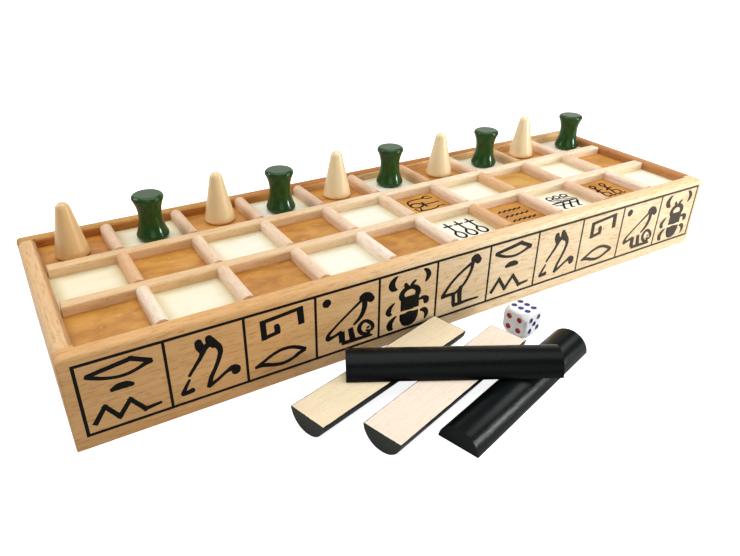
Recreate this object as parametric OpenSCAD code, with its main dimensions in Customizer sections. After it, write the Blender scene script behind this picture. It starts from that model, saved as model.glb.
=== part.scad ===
// Senet board: a beech box with thirty sunk squares on top and a storage drawer in its right
// end, with ten pawns, four throwing sticks and a die laid out as for the start of a game.
// Origin: centre of the box's underside. +X runs right along the box, +Y to its back, +Z up.

/* [Squares] */
// Length of one square along the box
square_x = 30; // [24:0.5:40]
// Depth of one square across the box
square_y = 30; // [24:0.5:40]
// How far the squares lie below the top of the walls
square_depth = 4.8; // [4.6:0.1:8]
// Width of the strips between the squares of a row
divider_w = 6; // [4:0.5:9]
// How far those strips stand above the rails
divider_rise = 0.6; // [0:0.1:1.2]
// Width of the long rails between the rows
rail_w = 6; // [4:0.5:9]
// How far the rails stay below the top of the walls
rail_drop = 0.1; // [0:0.1:1]
// Gap between a rail's end and the end wall
rail_gap = 0.6; // [0:0.1:1.5]
// Rounding of the strips' upper edges
divider_round = 2.8; // [0.5:0.1:3]
// Rounding of the rails' upper edges
rail_round = 1; // [0.5:0.1:2.5]
// Rounding of a rail's upper end corners
rail_end_round = 1; // [0.5:0.5:3]

/* [Case] */
// Thickness of the four walls
wall = 8; // [7:0.5:12]
// Height of the walls
case_h = 43; // [36:1:60]
// Rounding of the walls' outer top edges
top_round = 3.5; // [1:0.5:4]
// Rounding of the walls' inner top edges
lip_round = 2; // [0.5:0.5:2.5]
// Rounding of the box's upright corners
corner_round = 1; // [0.5:0.5:3]
// Rounding of the box's bottom edges
foot_round = 0.5; // [0.5:0.5:2.5]

/* [Panels] */
// Thickness of the playing panel
panel_t = 4; // [3:0.5:6]
// Thickness of the base panel
base_t = 3.5; // [2.5:0.5:5]
// Depth of the grooves that hold the playing panel
groove = 3; // [1.5:0.5:4]
// Depth of the rebates that the base panel is let into
rebate = 3; // [1.5:0.5:4]

/* [Drawer] */
// Length of the drawer with its front
drawer_l = 200; // [120:5:320]
// Thickness of the drawer's sides and back
drawer_side_t = 5; // [3:0.5:8]
// Thickness of the drawer's bottom
drawer_bottom_t = 3; // [2:0.5:4]
// Height of the bottom's underside above the sides' lower edge
drawer_bottom_lift = 2; // [1:0.5:4]
// Depth of the grooves that hold the drawer's bottom
drawer_groove = 2; // [1:0.5:2.5]
// Gap between the drawer and the box on every side
drawer_gap = 0.5; // [0.3:0.1:1]
// Gap between the drawer's sides and the bar above them
drawer_headroom = 2.5; // [1:0.5:5]
// How far the bar over the drawer reaches below the playing panel
lintel_drop = 2.2; // [1:0.2:4]
// Thickness of the cross wall that the drawer closes against
stop_t = 6; // [4:0.5:10]
// Rounding of the drawer front's outer edges
front_round = 1; // [0.5:0.5:2]

/* [Knob] */
// Width of the knob's head
knob_d = 13; // [10:0.5:18]
// Width of the knob's neck
knob_neck_d = 7; // [6:0.5:9]
// How far the knob stands out from the drawer
knob_l = 11; // [8:0.5:16]
// Width of the knob's spigot
spigot_d = 5; // [3:0.5:5.5]
// Length of the spigot inside the drawer front
spigot_l = 5; // [3:0.5:6]
// Play of the spigot in its hole
spigot_play = 0.05; // [0.02:0.01:0.1]

/* [Pawns] */
// Width of the pawns at their foot
pawn_d = 16; // [12:0.5:19]
// Height of the cones
cone_h = 27; // [20:0.5:36]
// Radius of a cone's tip
cone_tip_r = 3.4; // [2.5:0.1:4]
// Rounding of a cone's lower edge
cone_foot_r = 1.5; // [0.5:0.1:2.5]
// Height of the spools
spool_h = 23.6; // [18:0.1:32]
// Width of a spool's top
spool_top_d = 15.6; // [13:0.1:18]
// Width of a spool's waist
spool_waist_d = 11.4; // [9:0.1:12]
// Height of the waist above a spool's foot
spool_waist_z = 13; // [10:0.5:14]
// Rounding of a spool's lower edge
spool_foot_r = 2.3; // [1.5:0.1:3]
// Rounding of a spool's upper edge
spool_top_r = 1.8; // [1:0.1:2.5]

/* [Throwing sticks] */
// Length of a stick
stick_l = 93.5; // [70:0.5:120]
// Width of a stick's flat side
stick_w = 19; // [14:0.2:24]
// Height from the flat side to the crown
stick_h = 8.9; // [6:0.1:9]

/* [Die] */
// Size of the die across its faces
die_size = 14; // [10:0.5:18]
// Rounding of the die's edges
die_edge_r = 1.6; // [0.5:0.1:2.5]
// How far the ball that rounds the die's corners reaches past its faces
die_ball_over = 2.9; // [1.5:0.1:3.5]
// Width of a pip
pip_d = 3.1; // [1.5:0.1:3.3]
// Depth of a pip
pip_depth = 0.5; // [0.2:0.1:0.8]

/* [Layout] */
// Gap between the board's front and the stick nearest to it
stick_to_board = 0.9; // [0.5:0.1:10]
// Gap between the two sticks that lie flat side up
stick_gap_left = 7.3; // [5:0.1:20]
// Gap between the middle stick and the right one
stick_gap_right = 1.9; // [1.5:0.1:20]
// Clearance under the stick that lies across the others
stick_rest = 0.3; // [0.2:0.1:1]
// Gap from the middle stick's far end to the die
die_gap = 11.1; // [8:0.1:30]

/* [Hidden] */
$fn = 48;
over = 1;   // how far a cutting body reaches past the face that it cuts
least_flat = 0.1;   // flat left beside a rounding, so that it never takes a whole side

columns = 10;
rows = 3;
row_names = ["front", "middle", "back"];

inner_l = columns * square_x + (columns - 1) * divider_w;
inner_w = rows * square_y + (rows - 1) * rail_w;
case_l = inner_l + 2 * wall;
case_w = inner_w + 2 * wall;
floor_z = case_h - square_depth;
panel_z = floor_z - panel_t;
lintel_z = panel_z - lintel_drop;
rail_top = case_h - rail_drop;

// The drawer's outer faces and levels, shut
drawer_w = inner_w - 2 * drawer_gap;
drawer_out_x = case_l / 2;
drawer_in_x = drawer_out_x - drawer_l;
drawer_side_x = drawer_out_x - wall;
drawer_z = base_t + drawer_gap;
drawer_top = lintel_z - drawer_headroom;
front_z = drawer_gap;
front_top = lintel_z - drawer_gap;
knob_z = (front_z + front_top) / 2;

// The spigot's hole goes deeper than the spigot by this much
spigot_end_gap = 0.5;

// Where each pawn stands off the middle of its square, from the left of the back row
pawn_shifts = [
    [-1, -1], [1.5, -1], [2, 2.5], [0, -1], [1, 2],
    [1.5, 2], [2, 1], [2, 0.5], [1, 3], [5, -0.5],
];

// How the sticks and the die lie: turned about Z from the board's length, and how far along
left_turn = 15.5;
middle_turn = 17.4;
right_turn = 17;
across_turn = -28.4;
die_turn = -79.4;
left_x = -58.8;
middle_slip = 13.4;
right_slip = 22.3;
across_shift = [4.5, 5.8];
die_side = 2.7;

// Distances of the pips from the middle of a face, as shares of the die
pip_even = 0.214;
pip_long = 0.283;
pip_narrow = 0.179;

function divider_name(row, gap) = str("divider_", row_names[row], "_", gap);
function cone_name(n) = str("cone_pawn_", n);
function spool_name(n) = str("spool_pawn_", n);

beech = [0.80, 0.60, 0.38];
pale_beech = [0.88, 0.70, 0.52];
ply = [0.90, 0.82, 0.62];
cream = [0.90, 0.80, 0.56];
bottle_green = [0.05, 0.22, 0.10];
stick_black = [0.08, 0.08, 0.09];

// Middles of the squares: column and row counted from the left and from the front
function square_mid_x(column) = -inner_l / 2 + square_x / 2 + (column - 1) * (square_x + divider_w);
function square_mid_y(row) = -inner_w / 2 + square_y / 2 + row * (square_y + rail_w);
function gap_mid_x(gap) = square_mid_x(gap) + (square_x + divider_w) / 2;
function rail_mid_y(row) = square_mid_y(row) + (square_y + rail_w) / 2;

// A direction at an angle in the table's plane, and the one to its right
function ahead(turn) = [cos(turn), sin(turn)];
function aside(turn) = [sin(turn), -cos(turn)];

// What a rounded corner at the origin takes off a square one
module corner_waste(r) {
    difference() {
        translate([-r, -r]) square(2 * r);
        translate([r, r]) circle(r);
    }
}

// A w by h outline, standing on the origin, with its upper corners rounded
module arched_outline(w, h, r) {
    difference() {
        translate([-w / 2, 0]) square([w, h]);
        for (side = [0, 1]) mirror([side, 0])
            translate([-w / 2, h]) mirror([0, 1]) corner_waste(r);
    }
}

// The same with its lower corners rounded too, by low, and its upper ones by high
module rounded_outline(w, h, low, high) {
    difference() {
        arched_outline(w, h, high);
        for (side = [0, 1]) mirror([side, 0]) translate([-w / 2, 0]) corner_waste(low);
    }
}

// The end of a strip or rail: w wide, h high, with upper edges rounded by r where there is room
module strip_outline(w, h, r) {
    arched_outline(w, h, min(r, w / 2 - least_flat, h - least_flat));
}

// Extrudes an outline drawn across the box along its length, centred
module along_x(length) {
    translate([-length / 2, 0, 0]) rotate([90, 0, 90]) linear_extrude(length) children();
}

// Extrudes an outline drawn along the box across its width, centred
module along_y(length) {
    translate([0, length / 2, 0]) rotate([90, 0, 0]) linear_extrude(length) children();
}

// A box between two corners
module span(low, high) {
    translate(low) cube(high - low);
}

// The whole box as one rounded block, which the four walls are parts of
module case_form() {
    intersection() {
        along_y(case_w) rounded_outline(case_l, case_h, foot_round, top_round);
        along_x(case_l) rounded_outline(case_w, case_h, foot_round, top_round);
        linear_extrude(case_h) translate([0, -case_w / 2])
            rounded_outline(case_l, case_w, corner_round, corner_round);
    }
}

// What the rounded lip takes off the inner top edges of all four walls
module lip_waste() {
    for (side = [0, 1]) {
        mirror([0, side, 0]) translate([0, -inner_w / 2, case_h])
            along_x(inner_l) rotate(180) corner_waste(lip_round);
        mirror([side, 0, 0]) translate([-inner_l / 2, 0, case_h])
            along_y(inner_w) rotate(180) corner_waste(lip_round);
    }
}

// The panels' own bodies, which also cut their grooves and rebates into the walls
module panel_body() {
    span([-inner_l / 2 - groove, -inner_w / 2 - groove, panel_z],
         [inner_l / 2 + groove, inner_w / 2 + groove, floor_z]);
}

module base_body() {
    span([-inner_l / 2 - rebate, -inner_w / 2 - rebate, 0],
         [inner_l / 2, inner_w / 2 + rebate, base_t]);
}

// The part of the box between two corners, with its lip, grooves and rebate cut
module case_wall(low, high) {
    color(beech) difference() {
        intersection() {
            case_form();
            span(low, high);
        }
        lip_waste();
        panel_body();
        base_body();
    }
}

module front_board() {
    case_wall([-case_l / 2, -case_w / 2, 0], [case_l / 2, -inner_w / 2, case_h]);
}

module back_board() {
    case_wall([-case_l / 2, inner_w / 2, 0], [case_l / 2, case_w / 2, case_h]);
}

module left_end() {
    case_wall([-case_l / 2, -inner_w / 2, 0], [-inner_l / 2, inner_w / 2, case_h]);
}

// The right end is open below this bar, for the drawer
module right_end() {
    case_wall([inner_l / 2, -inner_w / 2, lintel_z], [case_l / 2, inner_w / 2, case_h]);
}

module play_panel() {
    color(ply) panel_body();
}

module base_panel() {
    color(ply) base_body();
}

// The cross wall under the playing panel that the drawer closes against
module drawer_stop() {
    face_x = drawer_in_x - drawer_gap;
    color(beech) span([face_x - stop_t, -inner_w / 2, base_t], [face_x, inner_w / 2, panel_z]);
}

// A long rail between two rows, with its upper end corners rounded
module rail(row) {
    rail_h = rail_top - floor_z;
    rail_l = inner_l - 2 * rail_gap;
    color(pale_beech) translate([0, rail_mid_y(row), floor_z]) intersection() {
        along_x(rail_l) strip_outline(rail_w, rail_h, rail_round);
        along_y(rail_w) arched_outline(rail_l, rail_h, min(rail_end_round, rail_h - least_flat));
    }
}

// A strip across one row, between two of its squares
module divider(row, gap) {
    color(pale_beech) translate([gap_mid_x(gap), square_mid_y(row), floor_z])
        along_y(square_y)
            strip_outline(divider_w, rail_top + divider_rise - floor_z, divider_round);
}

// The drawer's bottom, which also cuts its grooves into the sides, front and back
module drawer_bottom_body() {
    z = drawer_z + drawer_bottom_lift;
    y = drawer_w / 2 - drawer_side_t + drawer_groove;
    span([drawer_in_x + drawer_side_t - drawer_groove, -y, z],
         [drawer_side_x + drawer_groove, y, z + drawer_bottom_t]);
}

module drawer_front() {
    h = front_top - front_z;
    color(beech) difference() {
        translate([drawer_side_x, 0, front_z]) intersection() {
            span([0, -drawer_w / 2, 0], [wall, drawer_w / 2, h]);
            along_y(drawer_w) rounded_outline(2 * wall, h, front_round, front_round);
            linear_extrude(h) translate([0, -drawer_w / 2])
                rounded_outline(2 * wall, drawer_w, front_round, front_round);
        }
        drawer_bottom_body();
        translate([drawer_out_x - spigot_l - spigot_end_gap, 0, knob_z]) rotate([0, 90, 0])
            cylinder(d = spigot_d + 2 * spigot_play, h = spigot_l + spigot_end_gap + over);
    }
}

// One long side of the drawer: side is -1 for the front one and 1 for the back one
module drawer_side(side) {
    outer = side * drawer_w / 2;
    inner = side * (drawer_w / 2 - drawer_side_t);
    color(pale_beech) difference() {
        span([drawer_in_x, min(outer, inner), drawer_z],
             [drawer_side_x, max(outer, inner), drawer_top]);
        drawer_bottom_body();
    }
}

module drawer_left_side() {
    drawer_side(-1);
}

module drawer_right_side() {
    drawer_side(1);
}

module drawer_back() {
    y = drawer_w / 2 - drawer_side_t;
    color(pale_beech) difference() {
        span([drawer_in_x, -y, drawer_z], [drawer_in_x + drawer_side_t, y, drawer_top]);
        drawer_bottom_body();
    }
}

module drawer_bottom() {
    color(ply) drawer_bottom_body();
}

// A turned knob: spigot, waisted neck and domed head
module drawer_knob() {
    head_r = knob_d / 2;
    neck_r = knob_neck_d / 2;
    cove_r = knob_l / 2 - head_r / 4;
    dome_r = (head_r * head_r + cove_r * cove_r) / (2 * cove_r);
    color(beech) translate([drawer_out_x, 0, knob_z]) rotate([0, 90, 0]) {
        translate([0, 0, -spigot_l]) cylinder(d = spigot_d, h = spigot_l + over);
        rotate_extrude() difference() {
            union() {
                square([neck_r + cove_r / 2, knob_l - cove_r]);
                intersection() {
                    translate([0, knob_l - dome_r]) circle(dome_r);
                    translate([0, knob_l - cove_r]) square([head_r, cove_r]);
                }
            }
            translate([neck_r + cove_r / 2, (knob_l - cove_r) / 2]) circle(cove_r / 2);
        }
    }
}

// Where pawn n, counted from the left of the back row, stands
module in_square(column) {
    shift = pawn_shifts[column - 1];
    translate([square_mid_x(column) + shift[0], square_mid_y(rows - 1) + shift[1], floor_z])
        children();
}

// A cone with straight sides between a rounded foot and a round tip
module cone_pawn(n) {
    r = pawn_d / 2;
    tip_z = cone_h - cone_tip_r;
    // Angle of the side that touches both circles, from upright
    reach = norm([r - cone_foot_r, tip_z - cone_foot_r]);
    lean = atan2(r - cone_foot_r, tip_z - cone_foot_r)
        - asin((cone_tip_r - cone_foot_r) / reach);
    foot = [r - cone_foot_r, cone_foot_r];
    foot_touch = foot + cone_foot_r * [cos(lean), sin(lean)];
    tip_touch = [0, tip_z] + cone_tip_r * [cos(lean), sin(lean)];
    color(cream) in_square(2 * n - 1) rotate_extrude() {
        polygon([[0, 0], [foot[0], 0], foot, foot_touch, tip_touch, [0, tip_z]]);
        intersection() {
            union() {
                translate(foot) circle(cone_foot_r);
                translate([0, tip_z]) circle(cone_tip_r);
            }
            square([2 * r, cone_h]);
        }
    }
}

// Half of a spool's outline: an edge circle at edge, and a hollow that runs from it into the
// waist. The hollow's radius makes it touch both.
function hollow_radius(edge, edge_r, waist) =
    let (a = waist[0] - edge[0], b = waist[1] - edge[1])
    (a * a + b * b - edge_r * edge_r) / (2 * (edge_r - a));

module spool_half(edge, edge_r, waist, end_z) {
    hollow_r = hollow_radius(edge, edge_r, waist);
    hollow = [waist[0] + hollow_r, waist[1]];
    touch = edge + (hollow - edge) * edge_r / (edge_r + hollow_r);
    low = min(end_z, waist[1]);
    high = max(end_z, waist[1]);
    difference() {
        translate([0, low]) square([touch[0], high - low]);
        translate(hollow) circle(hollow_r, $fn = 120);
        // The edge circle takes over outside the point where it touches the hollow
        translate([edge[0], min(end_z, touch[1])]) square([edge_r, abs(touch[1] - end_z)]);
    }
    translate(edge) circle(edge_r);
}

// A waisted spool with a flat top and foot and rounded edges
module spool_pawn(n) {
    waist = [spool_waist_d / 2, spool_waist_z];
    foot = [pawn_d / 2 - spool_foot_r, spool_foot_r];
    head = [spool_top_d / 2 - spool_top_r, spool_h - spool_top_r];
    color(bottle_green) in_square(2 * n) rotate_extrude() {
        spool_half(foot, spool_foot_r, waist, 0);
        spool_half(head, spool_top_r, waist, spool_h);
    }
}

// A half-round stick lying along X, flat side down, with its middle over the origin
module stick() {
    r = (stick_w * stick_w / 4 + stick_h * stick_h) / (2 * stick_h);
    along_x(stick_l) intersection() {
        translate([0, stick_h - r]) circle(r, $fn = 96);
        translate([-stick_w / 2, 0]) square([stick_w, stick_h]);
    }
}

// Middles of the four sticks, each one placed from the one before it
stick_reach = ahead(left_turn)[1] * stick_l / 2 + ahead(left_turn)[0] * stick_w / 2;
left_mid = [left_x, -case_w / 2 - stick_to_board - stick_reach];
middle_mid = left_mid + middle_slip * ahead(left_turn) + (stick_w + stick_gap_left) * aside(left_turn);
right_mid = middle_mid + right_slip * ahead(middle_turn)
    + (stick_w + stick_gap_right) * aside(middle_turn);
across_mid = middle_mid + across_shift;

module stick_left() {
    color(stick_black) translate([left_mid[0], left_mid[1], stick_h]) rotate(left_turn)
        mirror([0, 0, 1]) stick();
}

module stick_middle() {
    color(stick_black) translate([middle_mid[0], middle_mid[1], stick_h]) rotate(middle_turn)
        mirror([0, 0, 1]) stick();
}

module stick_right() {
    color(stick_black) translate([right_mid[0], right_mid[1], 0]) rotate(right_turn) stick();
}

module stick_across() {
    color(stick_black) translate([across_mid[0], across_mid[1], stick_h + stick_rest])
        rotate(across_turn) stick();
}

// Places of the pips on the face that shows n, in shares of the die
function pip_row(n) =
    n == 1 ? [[0, 0]]
    : n == 2 ? [[-pip_even, -pip_even], [pip_even, pip_even]]
    : n == 3 ? concat(pip_row(1), pip_row(2))
    : n == 4 ? [for (a = [-1, 1]) for (b = [-1, 1]) [a * pip_even, b * pip_even]]
    : n == 5 ? concat(pip_row(1), pip_row(4))
    : [for (a = [-1, 0, 1]) for (b = [-1, 1]) [a * pip_long, b * pip_narrow]];

// The hollows of one face, for a die whose face looks up
module pips(n) {
    ball_r = (pip_d * pip_d / 4 + pip_depth * pip_depth) / (2 * pip_depth);
    for (place = pip_row(n))
        translate([place[0] * die_size, place[1] * die_size, die_size / 2 - pip_depth + ball_r])
            sphere(ball_r);
}

// The rounded square that each side of the die shows, for its edges
module die_slab() {
    linear_extrude(die_size, center = true) translate([0, -die_size / 2])
        rounded_outline(die_size, die_size, die_edge_r, die_edge_r);
}

module die() {
    end = middle_mid + (stick_l / 2 + die_gap + die_size / 2) * ahead(middle_turn)
        - die_side * aside(middle_turn);
    color("white") translate([end[0], end[1], die_size / 2]) rotate(die_turn) difference() {
        intersection() {
            die_slab();
            rotate([90, 0, 0]) die_slab();
            rotate([0, 90, 0]) die_slab();
            sphere(die_size / 2 + die_ball_over, $fn = 96);
        }
        pips(6);
        rotate([180, 0, 0]) pips(1);
        rotate([90, 0, 0]) pips(4);
        rotate([-90, 0, 0]) pips(3);
        rotate([0, 90, 0]) pips(5);
        rotate([0, -90, 0]) pips(2);
    }
}

front_board();
back_board();
left_end();
right_end();
play_panel();
base_panel();
drawer_stop();
rail(0);  // front_rail
rail(1);  // back_rail
for (row = [0:rows - 1]) for (gap = [1:columns - 1])
    divider(row, gap);
drawer_front();
drawer_left_side();
drawer_right_side();
drawer_back();
drawer_bottom();
drawer_knob();
for (n = [1:columns / 2]) cone_pawn(n);
for (n = [1:columns / 2]) spool_pawn(n);
stick_left();
stick_middle();
stick_right();
stick_across();
die();
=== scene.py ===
"""Dresses the senet board: beech walls and strips, stained squares, printed signs, lacquered
pawns and throwing sticks, and a spotted die, on a pale studio floor."""

import math

import bpy
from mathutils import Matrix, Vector


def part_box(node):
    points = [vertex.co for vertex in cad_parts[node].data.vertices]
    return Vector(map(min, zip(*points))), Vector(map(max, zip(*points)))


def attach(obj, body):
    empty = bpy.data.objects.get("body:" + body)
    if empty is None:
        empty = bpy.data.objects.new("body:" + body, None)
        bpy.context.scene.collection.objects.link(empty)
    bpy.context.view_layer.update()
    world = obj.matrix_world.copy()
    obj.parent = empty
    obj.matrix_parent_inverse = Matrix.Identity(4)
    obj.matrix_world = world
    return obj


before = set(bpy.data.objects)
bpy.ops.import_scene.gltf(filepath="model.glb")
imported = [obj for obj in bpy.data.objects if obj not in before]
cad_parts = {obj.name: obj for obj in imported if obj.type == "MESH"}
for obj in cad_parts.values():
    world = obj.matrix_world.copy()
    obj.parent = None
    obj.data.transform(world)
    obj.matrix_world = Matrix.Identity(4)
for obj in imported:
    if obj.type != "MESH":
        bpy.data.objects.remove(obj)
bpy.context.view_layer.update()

bl_info = {
    "name": "Senet Board",
    "version": (1, 0, 0),
    "blender": (4, 5, 0),
    "location": "View3D > Sidebar > Senet",
    "description": "Finishes and printed signs of a wooden senet board with its pieces",
    "category": "Object",
}

MM = 0.001
PER_MM = 1000.0

BOARD = "board"
ROW_NAMES = ("front", "middle", "back")
COLUMNS = 10
CONES = tuple(f"cone_pawn_{n}" for n in range(1, 6))
SPOOLS = tuple(f"spool_pawn_{n}" for n in range(1, 6))

# The strips that are paler or browner than the rest, by row and gap. The dusky ones of the back
# row are partly painted shade of the pawns
PALE_STRIPS = ("divider_front_1", "divider_front_4", "divider_front_5", "divider_front_9")
DUSKY_AND_SHADED_STRIPS = ("divider_back_1", "divider_back_2", "divider_back_3", "divider_back_4",
                "divider_back_5", "divider_middle_8", "divider_front_8")
TAN_STRIPS = ("divider_front_6", "divider_middle_1", "divider_middle_7", "divider_back_6",
              "divider_back_8")

# How the loose pieces are turned about the upright, in degrees
STICK_TURNS = {"stick_left": 15.5, "stick_middle": 17.4, "stick_right": 17.0,
               "stick_across": -28.4}
FLAT_UP_STICKS = ("stick_left", "stick_middle")
DIE_TURN = math.radians(-79.4)


def shade(red, green, blue):
    """A screen colour, 0 to 255, as linear light."""
    def channel(value):
        value /= 255
        return value / 12.92 if value <= 0.04045 else ((value + 0.055) / 1.055) ** 2.4
    return (channel(red), channel(green), channel(blue))


# Places that come from the frame: the front's face, the squares and the loose pieces


def middle(node):
    """The middle of a node's box."""
    low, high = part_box(node)
    return (low + high) / 2


FRONT_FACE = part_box("front_board")[0].y
BOARD_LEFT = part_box("front_board")[0].x
BOARD_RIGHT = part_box("front_board")[1].x
FLOOR_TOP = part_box("play_panel")[1].z
FIRST_STRIP = middle("divider_front_1")
PITCH_X = middle("divider_front_2").x - FIRST_STRIP.x
PITCH_Y = middle("divider_middle_1").y - FIRST_STRIP.y
STRIP_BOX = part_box("divider_front_1")
SQUARE = STRIP_BOX[1].y - STRIP_BOX[0].y

# Where along the box its long pieces turn from warm to pale, how much further right the back wall
# does so on top and on its far side, in metres, and how pale such faces become. The paling is
# partly the wood's tone and partly painted light, brighter at the right, with painted shade at the
# left of the back wall's inner face
TONE_AND_LIGHT_FADE = (BOARD_LEFT * 0.68, BOARD_RIGHT * 0.22)
BACK_TONE_AND_SHADE_FADE = (BOARD_LEFT * 0.4, BOARD_RIGHT * 0.1)
BACK_LAG = 0.16
FADE_ON_TOP = 0.72
# Where, going left, the front's face gets darker with painted shade, and the back wall's top tan
SHADED_END = (BOARD_LEFT * 0.4, BOARD_LEFT * 1.1)
TAN_TOP = (BOARD_LEFT * 0.2, BOARD_LEFT * 0.5)
# Where, going right, the bare squares turn white and the cones pale, both painted light, and the
# frieze's ink grey with a painted sheen
PLY_LIGHT_FADE = (BOARD_LEFT * 0.9, BOARD_LEFT * 0.4)
CONE_LIGHT_FADE = (BOARD_LEFT * 0.95, BOARD_LEFT * 0.08)
INK_SHEEN_FADE = (BOARD_LEFT * 0.24, BOARD_RIGHT * 0.65)


def square_corner(row, column):
    """The front left corner of a square's floor: rows from the front, columns from the left."""
    return Vector((
        FIRST_STRIP.x + (column - 2) * PITCH_X + (PITCH_X - SQUARE) / 2,
        FIRST_STRIP.y + row * PITCH_Y - SQUARE / 2,
        FLOOR_TOP,
    ))


def stick_size(node, turn):
    """Length and width of a stick, from the box round it and its turn."""
    low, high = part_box(node)
    wide, deep = high.x - low.x, high.y - low.y
    ahead, aside = math.cos(turn), abs(math.sin(turn))
    spread = ahead ** 2 - aside ** 2
    return (wide * ahead - deep * aside) / spread, (deep * ahead - wide * aside) / spread


# Sizes and colours that a user would change


def colour(name, description, value):
    return bpy.props.FloatVectorProperty(
        name=name, description=description, default=value, subtype="COLOR", min=0, max=1)


def number(name, description, value, **limits):
    return bpy.props.FloatProperty(name=name, description=description, default=value, **limits)


def length(name, description, value):
    return number(name, description, value * MM, unit="LENGTH", precision=5)


def share(name, description, value):
    return number(name, description, value, subtype="FACTOR", min=0, max=1)


def angle(name, description, value):
    return number(name, description, math.radians(value), subtype="ANGLE")


def amount(name, description, value):
    return number(name, description, value, min=0)


def place(name, description, value):
    return bpy.props.FloatVectorProperty(
        name=name, description=description, default=value, subtype="TRANSLATION",
        unit="LENGTH", precision=4)


class WoodSettings(bpy.types.PropertyGroup):
    """Colours of the bare wood."""
    beech: colour("Beech", "Walls at the left", shade(219, 168, 105))
    beech_light: colour("Light beech", "Walls at the right", shade(239, 215, 175))
    # Brown beech is partly painted shade, dark on the back wall's inner face at its left
    beech_brown: colour("Brown beech", "Back wall", shade(178, 117, 59))
    beech_rosy: colour("Rosy beech", "Right end and drawer", shade(186, 132, 85))
    pale_strip: colour("Pale strip", "The palest strips", shade(247, 231, 212))
    rosy_strip: colour("Rosy strip", "Most strips", shade(237, 212, 184))
    # Dusky strip is partly painted shade, for the pawns' shadow on the back row
    dusky_strip: colour("Dusky strip", "Strips between the pawns", shade(226, 194, 164))
    tan_strip: colour("Tan strip", "The brownest strips", shade(221, 177, 130))
    # Rail and light rail end a ramp along the box, the light one a painted sheen at the right
    rail: colour("Rail", "The long rails at the left", shade(226, 190, 142))
    rail_light: colour("Light rail", "The long rails at the right", shade(238, 219, 190))
    streak: colour("Streak", "Rosy streaks along the strips", shade(230, 180, 152))
    fleck: colour("Fleck", "Short dark flecks", shade(168, 104, 54))
    rough: share("Roughness", "Roughness of the varnish", 0.44)


class PanelSettings(bpy.types.PropertyGroup):
    """Colours of the squares."""
    pale: colour("Pale square", "Bare plywood", shade(247, 243, 226))
    pale_grain: colour("Pale grain", "Grain of the bare plywood", shade(238, 229, 200))
    stained: colour("Stained square", "Stained plywood", shade(203, 144, 60))
    stained_dark: colour("Dark stain", "Where the stain is thick", shade(176, 115, 40))
    stained_wisp: colour("Stain's wisps", "Where the wood took little stain", shade(222, 174, 102))


class InkSettings(bpy.types.PropertyGroup):
    """The printed frame, figures and marks."""
    ink: colour("Ink", "Colour of the print", shade(13, 13, 11))
    worn: colour("Worn ink", "Where the print is thin", shade(62, 50, 36))
    # The frieze's ink turns grey at the right with a painted sheen
    ink_sheen: colour("Faded ink", "The frieze's print at the right", shade(78, 70, 62))
    cell_width: length("Cell width", "Width of one framed figure", 32.83)
    cell_height: length("Cell height", "Height of one framed figure", 32.4)
    left_margin: length("Left margin", "From the board's left end to the frame", 5.35)
    bottom: length("Bottom", "Height of the frame's lower line", 6.4)
    frame_line: length("Frame line", "Width of the frame's outer lines", 1.35)
    cell_line: length("Cell line", "Width of the lines between the figures", 1.25)
    bold: amount("Boldness", "How wide the figures' strokes are, where 1 is as written", 1.15)
    mark_line: length("Mark line", "Width of the lines on the squares", 1.4)
    rise: share("Rise", "How far the ink stands up, as a share of a line's half width", 0.03)


class LacquerSettings(bpy.types.PropertyGroup):
    """Finishes of the pawns, sticks and die."""
    # Cream and deep cream end a ramp along the box that is painted light, dimmer at the left
    cream: colour("Cream", "Cones at the right", shade(246, 225, 179))
    cream_deep: colour("Deep cream", "Cones at the left", shade(227, 187, 127))
    green: colour("Green", "Spools", shade(26, 66, 14))
    black: colour("Black", "Round sides of the sticks", shade(6, 10, 10))
    scuffed: colour("Scuffed black", "Ends of the sticks that lie flat side up", shade(45, 48, 42))
    stick_cream: colour("Stick's cream", "Flat side of the left stick", shade(243, 227, 193))
    stick_rose: colour("Stick's rose", "Flat side of the middle stick", shade(244, 229, 211))
    die_white: colour("Die", "Body of the die", shade(253, 254, 252))
    pip_blue: colour("Blue pips", "Most pips of the die", shade(36, 34, 122))
    pip_red: colour("Red pips", "Pips of the one and the four", shade(176, 28, 38))


class StageSettings(bpy.types.PropertyGroup):
    """Camera, floor and lamps."""
    camera_place: place("Camera place", "Where the camera stands", (-0.1872, -0.2734, 0.1834))
    camera_tilt: angle("Camera tilt", "From straight down to the line of sight", 60.794)
    camera_roll: angle("Camera roll", "Turn about the line of sight's level axis", -0.542)
    camera_turn: angle("Camera turn", "Turn about the upright, from looking along Y", -30.897)
    lens_mm: amount("Lens", "Focal length in millimetres on a 36 mm sensor", 31.636)
    shift_x: number("Shift across", "How far the picture is off the lens's axis, across", 0.0096)
    shift_y: number("Shift up", "How far the picture is off the lens's axis, up", -0.0047)
    floor_size: amount("Floor size", "Side of the floor in metres", 12.0)
    floor: colour("Floor", "Colour of the floor", (0.82, 0.82, 0.82))
    floor_glow: amount("Floor glow", "What the camera sees on the floor beside its shade", 0.88)
    sky: amount("Sky", "Strength of the even light from all round", 0.27)


# Each lamp in words, where it hangs and how wide it is, in metres, and its power in watts
LAMPS = {
    "top": ("the broad lamp overhead", (0.0, 0.0, 0.8), 0.8, 4.4),
    "right": ("the right lamp", (0.27, -0.13, 0.26), 0.15, 0.32),
    "low": ("the low lamp at the right front", (0.42, -0.4, 0.12), 0.1, 1.25),
    "left": ("the left lamp", (-0.5, 0.3, 0.4), 0.3, 1.15),
    "back": ("the broad lamp behind", (0.1, 0.95, 0.55), 0.8, 1.25),
    "far": ("the broad lamp far behind at the right", (0.95, 0.9, 0.42), 0.8, 1.2),
    "front": ("the front lamp", (-0.3, -0.8, 0.4), 0.5, 0.75),
}


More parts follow.
